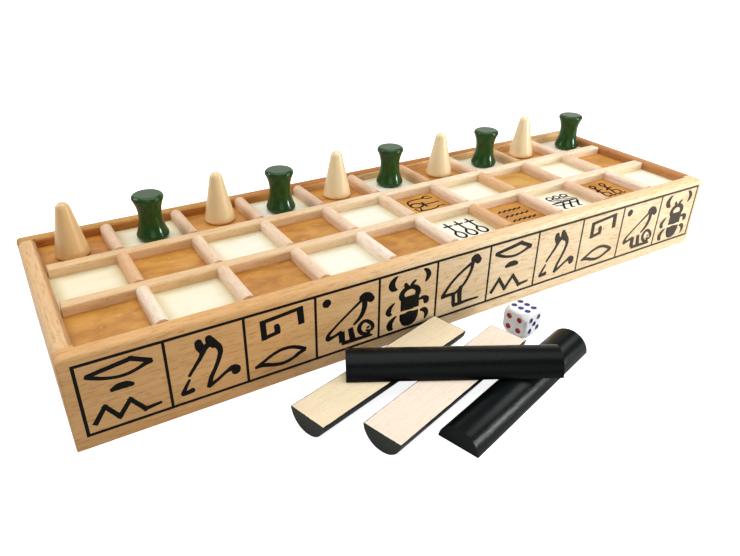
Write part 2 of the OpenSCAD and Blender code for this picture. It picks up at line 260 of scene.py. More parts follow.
def lamp_settings():
    """The place, power and size of every lamp, as settings."""
    fields = {}
    for lamp, (what, where, side, watts) in LAMPS.items():
        title = lamp.title()
        fields[f"{lamp}_place"] = place(f"{title} lamp", f"Where {what} hangs", where)
        fields[f"{lamp}_watts"] = amount(f"{title} power", f"Power of {what} in watts", watts)
        fields[f"{lamp}_size"] = amount(f"{title} size", f"Side of {what} in metres", side)
    return fields


StageSettings.__annotations__.update(lamp_settings())

GROUPS = {
    "senet_wood": WoodSettings,
    "senet_panel": PanelSettings,
    "senet_ink": InkSettings,
    "senet_lacquer": LacquerSettings,
    "senet_stage": StageSettings,
}


# Materials


AXES = "XYZ"
# A dye that changes nothing
PLAIN = (1.0, 1.0, 1.0)


def along(axis, stretch):
    """A stretch along one axis."""
    return tuple(stretch if name == axis else 1 for name in AXES)


class Recipe:
    """A material under way. Patterns are laid out in millimetres of the object's own frame."""

    def __init__(self, name):
        self.material = bpy.data.materials.new(name)
        self.material.use_nodes = True
        self.tree = self.material.node_tree
        self.tree.nodes.clear()
        self.shader = self.tree.nodes.new("ShaderNodeBsdfPrincipled")
        self.output = self.tree.nodes.new("ShaderNodeOutputMaterial")
        self.tree.links.new(self.shader.outputs["BSDF"], self.output.inputs["Surface"])
        where = self.tree.nodes.new("ShaderNodeTexCoord")
        self.place = where.outputs["Object"]
        self.facing = where.outputs["Normal"]

    def put(self, socket, value):
        """Links a socket to another one, or gives it a value. None leaves it as it is."""
        if isinstance(value, bpy.types.NodeSocket):
            self.tree.links.new(value, socket)
        elif value is not None:
            socket.default_value = value

    def add(self, kind, values=None, **settings):
        """Adds a node, with values for its inputs by name or number."""
        node = self.tree.nodes.new(kind)
        for name, value in settings.items():
            setattr(node, name, value)
        for key, value in (values or {}).items():
            self.put(node.inputs[key], value)
        return node

    def math(self, operation, a, b=None):
        """One step of arithmetic on values or sockets."""
        return self.add("ShaderNodeMath", {0: a, 1: b}, operation=operation).outputs[0]

    def times(self, a, b):
        return self.math("MULTIPLY", a, b)

    def step(self, value, low, high):
        """A soft step from 0 at low to 1 at high."""
        return self.add(
            "ShaderNodeMapRange", {"Value": value, "From Min": low, "From Max": high},
            interpolation_type="SMOOTHSTEP").outputs["Result"]

    def spread(self, value, low, high):
        """Low where a value is 0, and high where it is 1."""
        return self.add(
            "ShaderNodeMapRange", {"Value": value, "To Min": low, "To Max": high}).outputs["Result"]

    def mix(self, factor, a, b, blend="MIX"):
        """A mix of two colours, each given as three numbers or a socket."""
        def four(value):
            return value if isinstance(value, bpy.types.NodeSocket) else (*value, 1)
        return self.add(
            "ShaderNodeMix", {0: factor, 6: four(a), 7: four(b)},
            data_type="RGBA", blend_type=blend).outputs[2]

    def dyed(self, tone, pattern, low, high):
        """Multiplies a tone by low where a pattern is 0 and by high where it is 1."""
        return self.mix(1.0, tone, self.mix(pattern, low, high), "MULTIPLY")

    def figured(self, tone, noise, low, high):
        """Dyes a tone by low where a noise is low and by high where it is high."""
        return self.dyed(tone, self.step(noise, 0.3, 0.7), low, high)

    def laid(self, stretch=(1, 1, 1), turn=0.0, centre=(0, 0, 0)):
        """Millimetres from a centre, turned about Z, with each axis drawn out by stretch."""
        moved = self.add("ShaderNodeVectorMath", {0: self.place, 1: centre}, operation="SUBTRACT")
        turned = self.add(
            "ShaderNodeMapping", {"Vector": moved.outputs[0], "Rotation": (0, 0, -turn)})
        scale = tuple(PER_MM / factor for factor in stretch)
        return self.add(
            "ShaderNodeMapping", {"Vector": turned.outputs[0], "Scale": scale}).outputs[0]

    def axes(self, where):
        """The three parts of a place or a direction."""
        return self.add("ShaderNodeSeparateXYZ", {0: where}).outputs

    def along_box(self, start, end):
        """A soft step along the box, from 0 at its start to 1 at its end."""
        return self.step(self.axes(self.place)["X"], start, end)

    def faces(self, axis, low, high):
        """How far the surface faces along an axis, from 0 at low to 1 at high."""
        return self.step(self.axes(self.facing)[axis], low, high)

    def noise(self, where, size, detail=2.0, rough=0.5, twist=0.0):
        """Noise with features about size across, from 0 to 1."""
        return self.add("ShaderNodeTexNoise", {
            "Vector": where, "Scale": 1 / size, "Detail": detail, "Roughness": rough,
            "Distortion": twist}).outputs["Fac"]

    def finish(self, tint, roughness, bump=None, depth=0.0, **sockets):
        """Joins colour, roughness and bump to the shader, sets other sockets and returns the
        material."""
        self.put(self.shader.inputs["Base Color"], tint)
        self.put(self.shader.inputs["Roughness"], roughness)
        if bump is not None:
            raised = self.add(
                "ShaderNodeBump", {"Height": bump, "Distance": depth * MM, "Strength": 1.0})
            self.put(self.shader.inputs["Normal"], raised.outputs["Normal"])
        for name, value in sockets.items():
            self.shader.inputs[name.replace("_", " ")].default_value = value
        return self.material


# How many fine lines a board's figure has, how deep its grain is in millimetres, and how much the
# far walls shine, which are less polished than the rest
FIGURE_LINES = 70.0
WOOD_RELIEF = 0.02
FAR_GLOSS = 0.08


def grained(recipe, tone, axis, off, settings, pores=1.0, end_tint=(0.84, 0.72, 0.60), gloss=0.5):
    """Lays beech's figure over a tone and finishes it: bands, fine lines, pores, flecks and
    darker end grain. The grain runs along an axis, and off tells one board from another."""
    centre = Vector(off) * MM

    def noise(stretch, size, detail):
        return recipe.noise(recipe.laid(along(axis, stretch), 0.0, centre), size, detail)

    bands = noise(9, 8.0, 2.0)
    tone = recipe.figured(tone, bands, (0.96, 0.93, 0.88), (1.03, 1.04, 1.07))
    figure = recipe.math("SINE", recipe.times(noise(12, 15.0, 1.0), FIGURE_LINES))
    tone = recipe.dyed(tone, recipe.step(figure, 0.0, 1.0), (1.01, 1.01, 1.01), (0.97, 0.95, 0.91))
    dashes = recipe.step(noise(8, 0.8, 2.0), 0.53, 0.68)
    tone = recipe.dyed(tone, recipe.times(dashes, pores), PLAIN, (0.85, 0.74, 0.59))
    threads = noise(24, 0.4, 2.0)
    tone = recipe.figured(tone, threads, (0.97, 0.95, 0.92), (1.03, 1.05, 1.08))
    specks = recipe.step(noise(3, 0.65, 1.0), 0.67, 0.75)
    tone = recipe.mix(recipe.times(specks, 0.45), tone, settings.fleck)
    lengthways = recipe.math("ABSOLUTE", recipe.axes(recipe.facing)[axis])
    tone = recipe.dyed(tone, recipe.step(lengthways, 0.75, 0.95), PLAIN, end_tint)
    roughness = recipe.spread(threads, settings.rough - 0.06, settings.rough + 0.08)
    relief = recipe.math("SUBTRACT", threads, dashes)
    return recipe.finish(tone, roughness, relief, WOOD_RELIEF, Specular_IOR_Level=gloss)


def shaded_left_of_front(recipe):
    """How far a place is into the left end of the front's face that is darkened with painted shade,
    and how dark that shade is.
    """
    where = recipe.times(recipe.faces("Y", -0.5, -0.9), recipe.along_box(*SHADED_END))
    return where, (0.74, 0.76, 0.76)


def shaded_inner_edge(recipe):
    """How far a place is round the left end's inner edge, which faces away from the light, and how
    dark the painted shade on it is.
    """
    return recipe.faces("X", 0.0, 0.4), (0.66, 0.53, 0.42)


def left_of_back(recipe):
    """How far a place is on the tan left part of the back wall's top, and how tan that is."""
    where = recipe.times(recipe.faces("Z", 0.3, 0.8), recipe.along_box(*TAN_TOP))
    return where, (1.22, 1.65, 2.1)


def beech(name, tones, axis, off, settings, fade=0.0, lag=0.0, patch=None, gloss=0.5):
    """Varnished beech in a warm and a paler tone. Fade is the share of the paler one, or the
    two places along the box between which it comes in, a ramp that is partly painted light. On top
    and on the far side it comes in less, and further right by the lag. Patch says where the wood's
    tone differs, and how; the darker patches of the front's left end and the left end's inner edge
    are painted shade."""
    recipe = Recipe(name)
    if isinstance(fade, tuple):
        away = recipe.math("MAXIMUM", recipe.faces("Z", 0.5, 0.9), recipe.faces("Y", 0.5, 0.9))
        across = recipe.math("SUBTRACT", recipe.axes(recipe.place)["X"], recipe.times(away, lag))
        fade = recipe.times(recipe.step(across, *fade), recipe.spread(away, 1.0, FADE_ON_TOP))
    tone = recipe.mix(fade, *tones)
    if patch:
        where, dye = patch(recipe)
        tone = recipe.dyed(tone, where, PLAIN, dye)
    return grained(recipe, tone, axis, off, settings, gloss=gloss)


def strip_wood(name, tint, axis, off, settings, streaky, paler=None):
    """The paler beech of the rails and strips, with rosy streaks along it. Paler is the tone
    that comes in towards the right, a painted sheen."""
    recipe = Recipe(name)
    centre = Vector(off) * MM
    if paler:
        tint = recipe.mix(recipe.along_box(*TONE_AND_LIGHT_FADE), tint, paler)
    streaks = recipe.noise(recipe.laid(along(axis, 9), 0.0, centre), 1.5, 2.0, 0.55)
    patches = recipe.noise(recipe.laid(centre=centre), 22.0, 1.0)
    rosy = recipe.times(
        recipe.step(streaks, 0.42, 0.72), recipe.spread(patches, 0.0, 2 * streaky))
    tone = recipe.mix(rosy, tint, settings.streak)
    return grained(recipe, tone, axis, off, settings, 0.55, (0.96, 0.91, 0.84))


# Half a square's side, and how far in from its edge the stain is thicker and partly painted shade,
# and the bare wood yellower with painted shade, in millimetres, and which stained square is paler,
# counted from none by column and row
SQUARE_HALF = SQUARE / 2 * PER_MM
STAIN_AND_SHADE_RIM = 3.0
BARE_SHADE_RIM = 6.0
PALER_SQUARE = (7, 1)


def ply_grain(recipe, band_size):
    """Plywood's fine fibres, and its broader bands of a size, both along the box."""
    fibres = recipe.noise(recipe.laid(along("X", 12)), 0.8, 3.0, 0.6)
    return fibres, recipe.noise(recipe.laid(along("X", 5)), band_size, 2.0)


def square_grid(recipe):
    """A place's column and row, counted from none, and how far out it is from the middle of its
    square, in millimetres."""
    corner = square_corner(0, 1)
    start = Vector((corner.x - (PITCH_X - SQUARE) / 2, corner.y - (PITCH_Y - SQUARE) / 2, 0))
    local = recipe.axes(recipe.laid(centre=start))
    counts, outward = [], []
    for axis, pitch in (("X", PITCH_X * PER_MM), ("Y", PITCH_Y * PER_MM)):
        counts.append(recipe.math("FLOOR", recipe.math("DIVIDE", local[axis], pitch)))
        within = recipe.math("FLOORED_MODULO", local[axis], pitch)
        outward.append(recipe.math("ABSOLUTE", recipe.math("SUBTRACT", within, pitch / 2)))
    return *counts, recipe.math("MAXIMUM", *outward)


def rimmed(recipe, tone, outward, rim, dye):
    """Dyes a tone in a soft rim inside the edge of each square."""
    near_edge = recipe.step(outward, SQUARE_HALF - rim, SQUARE_HALF)
    return recipe.dyed(tone, near_edge, PLAIN, dye)


def bare_ply(recipe, fibres, bands, settings):
    """The tone of the bare squares, which is yellower at the left, painting the dimmer light there.
    """
    grain = recipe.times(recipe.step(bands, 0.45, 0.75), 0.5)
    tone = recipe.mix(grain, settings.pale, settings.pale_grain)
    tone = recipe.figured(tone, fibres, (0.975, 0.97, 0.95), (1.01, 1.01, 1.02))
    return recipe.dyed(tone, recipe.along_box(*PLY_LIGHT_FADE), (0.98, 0.93, 0.80), PLAIN)


def stained_ply(recipe, fibres, bands, column, row, settings):
    """The tone of the stained squares, in blots and wisps, a little paler or deeper in each."""
    blots = recipe.noise(recipe.laid(along("X", 1.6)), 9.0, 3.0, 0.5, 0.5)
    wisps = recipe.noise(recipe.laid(along("X", 2.2)), 3.2, 3.0, 0.55, 0.6)
    wispy = recipe.times(recipe.step(wisps, 0.54, 0.76), 0.45)
    tone = recipe.mix(recipe.step(blots, 0.35, 0.7), settings.stained, settings.stained_dark)
    tone = recipe.mix(wispy, tone, settings.stained_wisp)
    tone = recipe.figured(tone, bands, (0.96, 0.95, 0.92), (1.04, 1.05, 1.07))
    tone = recipe.figured(tone, fibres, (0.96, 0.95, 0.92), (1.03, 1.04, 1.06))
    cell = recipe.add("ShaderNodeCombineXYZ", {0: column, 1: row}).outputs[0]
    luck = recipe.add("ShaderNodeTexWhiteNoise", {"Vector": cell}).outputs["Value"]
    tone = recipe.dyed(tone, luck, (0.93, 0.91, 0.88), (1.07, 1.08, 1.10))
    # The one stained square that is paler
    in_column = recipe.math("COMPARE", column, PALER_SQUARE[0])
    in_row = recipe.math("COMPARE", row, PALER_SQUARE[1])
    return recipe.dyed(tone, recipe.times(in_column, in_row), PLAIN, (1.12, 1.32, 1.75))


def squares(name, settings):
    """Plywood stained in every other square, by column and row."""
    recipe = Recipe(name)
    column, row, outward = square_grid(recipe)
    fibres, bands = ply_grain(recipe, 4.0)
    bare = bare_ply(recipe, fibres, bands, settings)
    # Painted shade in a rim round each bare square, along the strips
    bare = rimmed(recipe, bare, outward, BARE_SHADE_RIM, (0.80, 0.77, 0.62))
    stained = stained_ply(recipe, fibres, bands, column, row, settings)
    # Thicker stain and painted shade in a rim round each stained square
    stained = rimmed(recipe, stained, outward, STAIN_AND_SHADE_RIM, (0.88, 0.82, 0.74))
    odd = recipe.math("FLOORED_MODULO", recipe.math("ADD", column, row), 2.0)
    return recipe.finish(recipe.mix(odd, stained, bare), 0.48, fibres, WOOD_RELIEF)


def plain_ply(name, settings):
    """Bare plywood, for the base and the drawer's bottom."""
    recipe = Recipe(name)
    fibres, bands = ply_grain(recipe, 5.0)
    tone = recipe.mix(recipe.step(bands, 0.3, 0.8), settings.pale, settings.pale_grain)
    tone = recipe.figured(tone, fibres, (0.92, 0.90, 0.86), PLAIN)
    return recipe.finish(tone, 0.6, fibres, WOOD_RELIEF)


def printing_ink(name, settings, fade=None):
    """Printing ink, a little worn where the grain shows through. Fade is where along the box it
    turns grey with a painted sheen."""
    recipe = Recipe(name)
    grain = recipe.noise(recipe.laid(along("X", 8)), 0.5, 2.0)
    worn = recipe.times(recipe.step(grain, 0.62, 0.9), 0.5)
    tone = recipe.mix(worn, settings.ink, settings.worn)
    if fade:
        tone = recipe.mix(recipe.along_box(*fade), tone, settings.ink_sheen)
    return recipe.finish(tone, 0.6, Specular_IOR_Level=0.1)


def cream_lacquer(name, settings):
    """Thick cream lacquer over turned wood, paler on the cones further right, which is painted light.
    """
    recipe = Recipe(name)
    runs = recipe.noise(recipe.laid(along("Z", 5)), 3.2, 2.0)
    swell = recipe.noise(recipe.laid(), 2.4, 1.0)
    tone = recipe.mix(recipe.along_box(*CONE_LIGHT_FADE), settings.cream_deep, settings.cream)
    tone = recipe.dyed(tone, recipe.step(runs, 0.4, 0.9), PLAIN, (0.94, 0.91, 0.86))
    return recipe.finish(tone, 0.3, swell, 0.04, Coat_Weight=0.5, Coat_Roughness=0.1)


def green_lacquer(name, settings):
    """Thick bottle green lacquer."""
    recipe = Recipe(name)
    swell = recipe.noise(recipe.laid(), 3.0, 1.0)
    tone = recipe.figured(settings.green, swell, (0.9, 0.9, 0.9), (1.08, 1.08, 1.08))
    return recipe.finish(tone, 0.16, swell, 0.015, Specular_IOR_Level=0.36)


# How far the paint laps over onto the flat side, at least and at most, and how near a face counts
# as on it, in millimetres, and how much paler the paint is on the ends of the other sticks
PAINT_LAP = (0.05, 0.45)
PAINT_SKIN = 0.1
END_LIFT = 1.6


def flat_wood(recipe, tint, turn):
    """The bare wood of a stick's flat side, with fibres and specks along it."""
    fibres = recipe.noise(recipe.laid(along("X", 14), turn), 0.7, 3.0, 0.6)
    specks = recipe.step(recipe.noise(recipe.laid(along("X", 4), turn), 0.45, 1.0), 0.55, 0.75)
    pattern = recipe.step(fibres, 0.35, 0.8)
    tone = recipe.dyed(tint, pattern, (1.02, 1.02, 1.02), (0.93, 0.89, 0.83))
    return recipe.dyed(tone, recipe.times(specks, 0.6), PLAIN, (0.86, 0.80, 0.72))


def scuffed_end(recipe, tint, turn):
    """The scratched paint of a stick's end."""
    scuffs = recipe.noise(recipe.laid(along("Z", 0.4), turn), 1.1, 4.0, 0.7)
    pattern = recipe.times(recipe.step(scuffs, 0.5, 0.75), 0.6)
    return recipe.dyed(tint, pattern, PLAIN, (1.7, 1.7, 1.7))


def stick_paint(name, node, flat_tint, settings, turn):
    """Black paint on the round side and ends of a stick, and bare wood on its flat side."""
    low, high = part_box(node)
    flat_up = node in FLAT_UP_STICKS
    flat_z = high.z if flat_up else low.z
    stick_l, stick_w = stick_size(node, turn)
    recipe = Recipe(name)
    local = recipe.axes(recipe.laid(turn=turn, centre=middle(node)))
    height = recipe.math("SUBTRACT", recipe.axes(recipe.place)["Z"], flat_z)
    off_flat = recipe.times(recipe.math("ABSOLUTE", height), PER_MM)
    from_side, from_end = [
        recipe.math("SUBTRACT", span / 2 * PER_MM, recipe.math("ABSOLUTE", local[axis]))
        for axis, span in (("Y", stick_w), ("X", stick_l))]
    lap = recipe.spread(recipe.noise(recipe.laid(along("X", 3), turn), 1.2), *PAINT_LAP)
    near_edge = recipe.math("LESS_THAN", recipe.math("MINIMUM", from_side, from_end), lap)
    proud = recipe.math("GREATER_THAN", off_flat, PAINT_SKIN)
    painted = recipe.math("MAXIMUM", proud, near_edge)
    on_end = recipe.math("LESS_THAN", from_end, PAINT_SKIN)
    end_tint = settings.scuffed if flat_up else [END_LIFT * part for part in settings.black]
    brushed = recipe.noise(recipe.laid(along("X", 4), turn), 0.5, 3.0, 0.65)
    paint = recipe.figured(settings.black, brushed, (0.7, 0.8, 0.8), (1.1, 1.5, 1.5))
    paint = recipe.mix(on_end, paint, scuffed_end(recipe, end_tint, turn))
    tone = recipe.mix(painted, flat_wood(recipe, flat_tint, turn), paint)
    roughness = recipe.spread(painted, 0.6, 0.24)
    return recipe.finish(tone, roughness, brushed, 0.07, Specular_IOR_Level=0.12)


# How far in from the die's faces paint starts, a pip's floor lies and the rounded edges end, and
# how much further from the middle than a face a pip can be, in millimetres
PIP_SKIN = 0.03
PIP_FLOOR = 0.9
EDGE_BAND = 1.45
CORNER_REACH = 2.55


def die_plastic(name, settings):
    """White plastic with coloured paint in the pips' hollows."""
    low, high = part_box("die")
    half = (high.z - low.z) / 2 * PER_MM
    recipe = Recipe(name)
    where = recipe.laid(turn=DIE_TURN, centre=(low + high) / 2)
    local = recipe.axes(where)
    sizes = [recipe.math("ABSOLUTE", local[axis]) for axis in AXES]
    outer, inner, total = [
        recipe.math(operation, recipe.math(operation, sizes[0], sizes[1]), sizes[2])
        for operation in ("MAXIMUM", "MINIMUM", "ADD")]
    second = recipe.math("SUBTRACT", recipe.math("SUBTRACT", total, outer), inner)
    reach = recipe.add("ShaderNodeVectorMath", {0: where}, operation="LENGTH").outputs["Value"]
    pip = recipe.math("LESS_THAN", outer, half - PIP_SKIN)
    pip = recipe.times(pip, recipe.math("LESS_THAN", second, half - EDGE_BAND))
    pip = recipe.times(pip, recipe.math("LESS_THAN", reach, half + CORNER_REACH))
    four_side = recipe.math("LESS_THAN", local["Y"], PIP_FLOOR - half)
    one_side = recipe.math("LESS_THAN", local["Z"], PIP_FLOOR - half)
    red = recipe.math("MAXIMUM", four_side, one_side)
    paint = recipe.mix(red, settings.pip_blue, settings.pip_red)
    tone = recipe.mix(pip, settings.die_white, paint)
    return recipe.finish(tone, 0.22, Coat_Weight=0.3, Coat_Roughness=0.1)


def dress(nodes, material):
    """Gives CAD nodes a material."""
    for name in nodes:
        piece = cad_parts[name]
        piece.data.materials.clear()
        piece.data.materials.append(material)


# Printed signs: strokes on a flat sheet. Each is a list of points, across and up in hundredths of
# a cell and half width in the sheet's own unit, with True where it runs smoothly through them


POINTED_LEAF = [
    ([(11, 82.4, 2.5), (62, 89.8, 2.9), (85, 78.8, 2.9)], False),
    ([(12, 82, 3.0), (20, 77.5, 2.4), (35, 72, 2.0), (52, 70, 2.0), (68, 73.3, 2.1),
      (78, 77.3, 2.6), (84, 78.4, 2.8)], True),
]
ROUND_LEAF = [
    ([(11, 18.5, 1.6), (22, 23.5, 2.2), (38, 31.3, 2.2), (54, 34.2, 2.3), (70, 30.5, 2.5),
      (82.5, 23, 2.8)], True),
    ([(11, 18, 1.8), (20, 18.5, 2.6), (27, 17, 2.8), (37, 13.6, 2.5), (51, 11.5, 2.4),
      (65, 14.8, 2.3), (74, 19.5, 2.8), (82, 22, 2.6)], True),
]
WATER = [([(9, 12, 3.0), (24, 34, 2.6), (38, 13, 2.8), (53, 33, 2.6), (68, 12, 2.8),
           (88, 14, 1.8)], False)]
BAR = [([(35, 54, 2.4), (42, 56, 4.2), (52, 56, 4.4), (59, 54, 2.6)], True)]
HARE = [
    ([(41, 85, 4.0), (42, 78, 5.0), (45, 70, 4.2)], True),
    ([(54, 87, 3.8), (56, 81, 5.4), (61, 74, 5.0)], True),
    ([(46, 70, 3.6), (42, 62, 2.6), (34, 51, 2.2), (25, 39, 2.0)], True),
    ([(47, 72, 3.6), (55, 77, 3.6), (63, 73, 4.0), (67, 64, 3.2), (65, 54, 2.8), (59, 40, 2.5),
      (52, 27, 2.7), (48, 14, 3.2)], True),
    ([(48, 14, 3.0), (60, 20, 2.2), (73, 28, 2.2), (81, 30, 4.6), (84, 27, 6.2), (85, 23, 5.0)],
     True),
    ([(24.5, 33, 1.6), (19, 24, 2.2), (14, 15, 2.6)], True),
    ([(14, 14, 2.4), (21, 15, 3.0), (27, 16, 3.4)], True),
]
HOOK = [
    ([(79, 65, 4.0), (77.2, 92.6, 4.3)], False),
    ([(81, 90.3, 2.4), (21.5, 84.6, 2.6)], False),
    ([(25, 87, 3.7), (26, 57, 3.6)], False),
    ([(22.5, 59.6, 2.6), (48, 63.6, 2.6)], False),
    ([(44.8, 63, 3.6), (44.5, 69, 3.8), (43.5, 74, 3.4)], True),
]
PERCHED_BIRD = [
    ([(71, 76, 5.0), (76, 77, 6.6), (82, 75, 6.4), (88, 70, 4.6)], True),
    ([(70, 72.5, 2.2), (45, 54.5, 1.7), (26, 39.5, 1.8), (18, 31, 2.8), (18, 26, 3.8)], True),
    ([(18, 25.5, 3.4), (26, 27, 2.2), (38, 31, 2.4)], True),
    ([(76, 71, 4.0), (75.5, 60, 3.8), (70, 47, 3.1), (59, 37, 1.7)], True),
    ([(39, 31, 4.4), (40, 13, 4.2)], False),
    ([(41, 11, 3.0), (60, 10.5, 2.8), (88, 9.5, 1.8)], True),
    ([(53, 33, 3.6), (57, 12, 4.2)], False),
    ([(84.5, 14, 2.2), (76, 15, 2.6), (69.5, 20.5, 3.0), (67.5, 28.5, 3.2), (71.5, 35, 2.8),
      (78, 36.7, 2.4), (84, 33, 2.6), (88.5, 27.5, 2.8), (90, 22.5, 2.6), (87, 18.5, 2.2),
      (79, 20, 1.6)], True),
    ([(80.5, 24, 1.6), (83.5, 25.5, 1.6)], True),
]
DISC = [([(14.5, 84, 5.0), (17, 84.5, 6.2), (19.5, 85, 5.0)], True)]
SCARAB = [
    ([(30, 94.5, 0.6), (23.5, 89, 3.6), (20.5, 82, 5.2), (23, 76, 4.4), (29.5, 72.5, 1.0)], True),
    ([(75, 94.5, 0.8), (81, 90, 3.2), (84, 83, 4.0), (81.5, 76, 2.8), (79, 72, 0.8)], True),
    ([(26, 51, 0.8), (19.5, 45.5, 3.0), (16, 38.5, 4.4), (18, 34, 3.4), (21, 33, 1.6)], True),
    ([(69, 45, 1.6), (76, 46, 2.8), (81.5, 42, 4.8), (82.5, 37, 4.2)], True),
    ([(30, 27.5, 0.8), (23, 22.5, 3.2), (18.5, 15, 4.8), (20, 9, 4.2), (23, 6.5, 2.0)], True),
    ([(73, 25, 2.0), (79, 24, 3.6), (83.5, 18, 3.6), (82.5, 11, 2.6), (80.5, 7, 0.8)], True),
    ([(39, 55, 4.4), (37.8, 60, 4.3), (42, 67, 3.8), (52, 70, 2.8), (61, 68, 3.6),
      (66.6, 61, 4.3), (65.8, 55, 4.4)], True),
    ([(47.5, 71, 3.4), (45, 75, 3.2), (43.5, 78, 2.4)], True),
    ([(54, 71, 2.8), (56.5, 75.5, 2.8), (61.5, 79.5, 1.6)], True),
    ([(43.4, 56, 6.0), (43.6, 33, 6.0)], False),
    ([(53, 56, 6.0), (53, 32, 6.0)], False),
    ([(62.4, 56, 6.0), (62.2, 33, 6.0)], False),
    ([(52, 28, 14.7), (52, 18, 14.2)], False),
    ([(52, 18, 14.2), (52, 14, 12.6)], True),
]
STANDING_BIRD = [
    ([(65.5, 86, 4.6), (71, 86.5, 6.4), (78, 80.5, 5.0)], True),
    ([(66, 81, 2.8), (46.5, 70, 2.2), (30, 57.5, 2.3), (19, 45, 2.5), (12.5, 36, 3.0)], True),
    ([(12, 34.5, 3.2), (22, 35, 2.6), (35, 34.5, 2.6)], True),
    ([(66, 80, 3.4), (64.5, 69, 2.8), (59.5, 57.5, 2.4), (51.5, 46, 2.4), (40, 37, 2.4),
      (35, 34.5, 2.4)], True),
    ([(33, 34.5, 3.2), (34.5, 15, 3.2)], False),
    ([(34.5, 13.5, 3.2), (48, 13.5, 2.8), (60, 14, 2.2), (83, 13.6, 1.6)], True),
    ([(46.5, 43, 3.6), (45, 34.5, 4.0), (47, 15, 3.4)], True),
]
FRIEZE = [
    POINTED_LEAF + BAR + WATER,
    HARE,
    HOOK + ROUND_LEAF,
    PERCHED_BIRD + DISC,
    SCARAB,
    STANDING_BIRD,
]

# Marks on the squares, where a half width of 1 is that of an ordinary line


def soft(points, width=1.0):
    """A stroke of one width that runs smoothly through its points."""
    return [(x, y, width) for x, y in points], True


def good_sign(x):
    """A ring on a crossed stem."""
    ring = [(x, 50), (x - 6, 43), (x - 8, 35), (x - 5.5, 27), (x, 24), (x + 5.5, 27),
            (x + 8, 35), (x + 6, 43), (x, 50)]
    return [soft(ring), soft([(x, 50), (x, 84)]), soft([(x - 8.5, 72.5), (x + 8.5, 72.5)])]


def ripple(y):
    """One level line of water: thick rising strokes joined by thin falling ones."""
    left, pitch, run, rise = 29, 12, 8.5, 5
    strokes = []
    for n in range(5):
        foot = (left + pitch * n, y - rise / 2)
        peak = (foot[0] + run, y + rise / 2)
        strokes.append(soft([foot, peak], 0.85))
        if n:
            strokes.append(soft([last_peak, foot], 0.75))
        last_peak = peak
    return strokes


def small_bird(x):
    """A little bird, facing right."""
    return [
        soft([(x - 3, 72), (x - 1, 80), (x + 6, 82), (x + 11, 75), (x + 4, 70), (x - 3, 72)], 0.85),
        soft([(x + 6, 69), (x + 12, 61), (x + 16, 54)], 0.75),
        soft([(x - 4, 70), (x + 2, 60), (x + 10, 54)], 0.75),
        soft([(x - 10, 53), (x + 10, 53)], 1.1),
        soft([(x - 10, 46), (x - 1, 42), (x + 9, 44), (x + 14, 52)], 0.8),
        soft([(x - 4, 27), (x + 2, 36), (x + 9, 44)]),
        soft([(x - 4, 27), (x + 3, 26)], 0.6),
    ]


def small_man(x):
    """A little man, facing right, with his arm out."""
    return [
        soft([(x - 3, 70), (x - 4, 78), (x + 2, 85), (x + 7, 80), (x + 3, 72), (x - 3, 70)], 0.9),
        soft([(x, 71), (x - 3, 60), (x - 5, 48)], 1.2),
        soft([(x - 12, 53), (x - 2, 60), (x + 8, 60)]),
        soft([(x - 5, 48), (x + 8, 44), (x + 7, 29), (x + 13, 29)], 0.9),
        soft([(x - 5, 48), (x - 8, 29), (x + 1, 30)], 0.9),
    ]


def life_sign():
    """A looped cross lying on its side between two staffs."""
    return [
        soft([(54, 54), (45, 65), (33, 65), (27, 56), (36, 47), (54, 54)]),
        soft([(55, 45), (56, 65)]),
        soft([(55, 54), (89, 55)], 0.8),
        soft([(26, 58), (33, 78), (42, 81), (69, 81)], 0.8),
        soft([(69, 81), (76, 87), (86, 85)]),
        soft([(69, 81), (77, 76), (88, 77)], 0.8),
        soft([(28, 33), (69, 32), (76, 37), (88, 35)], 0.8),
        soft([(27, 44), (31, 32), (38, 43)], 0.8),
    ]


MARKS = {
    ("front", 6): good_sign(33) + good_sign(56) + good_sign(80),
    ("front", 7): ripple(74) + ripple(53) + ripple(33),
    ("front", 8): small_bird(38) + small_bird(56) + small_bird(75),
    ("front", 9): small_man(42) + small_man(70),
    ("middle", 6): life_sign(),
}


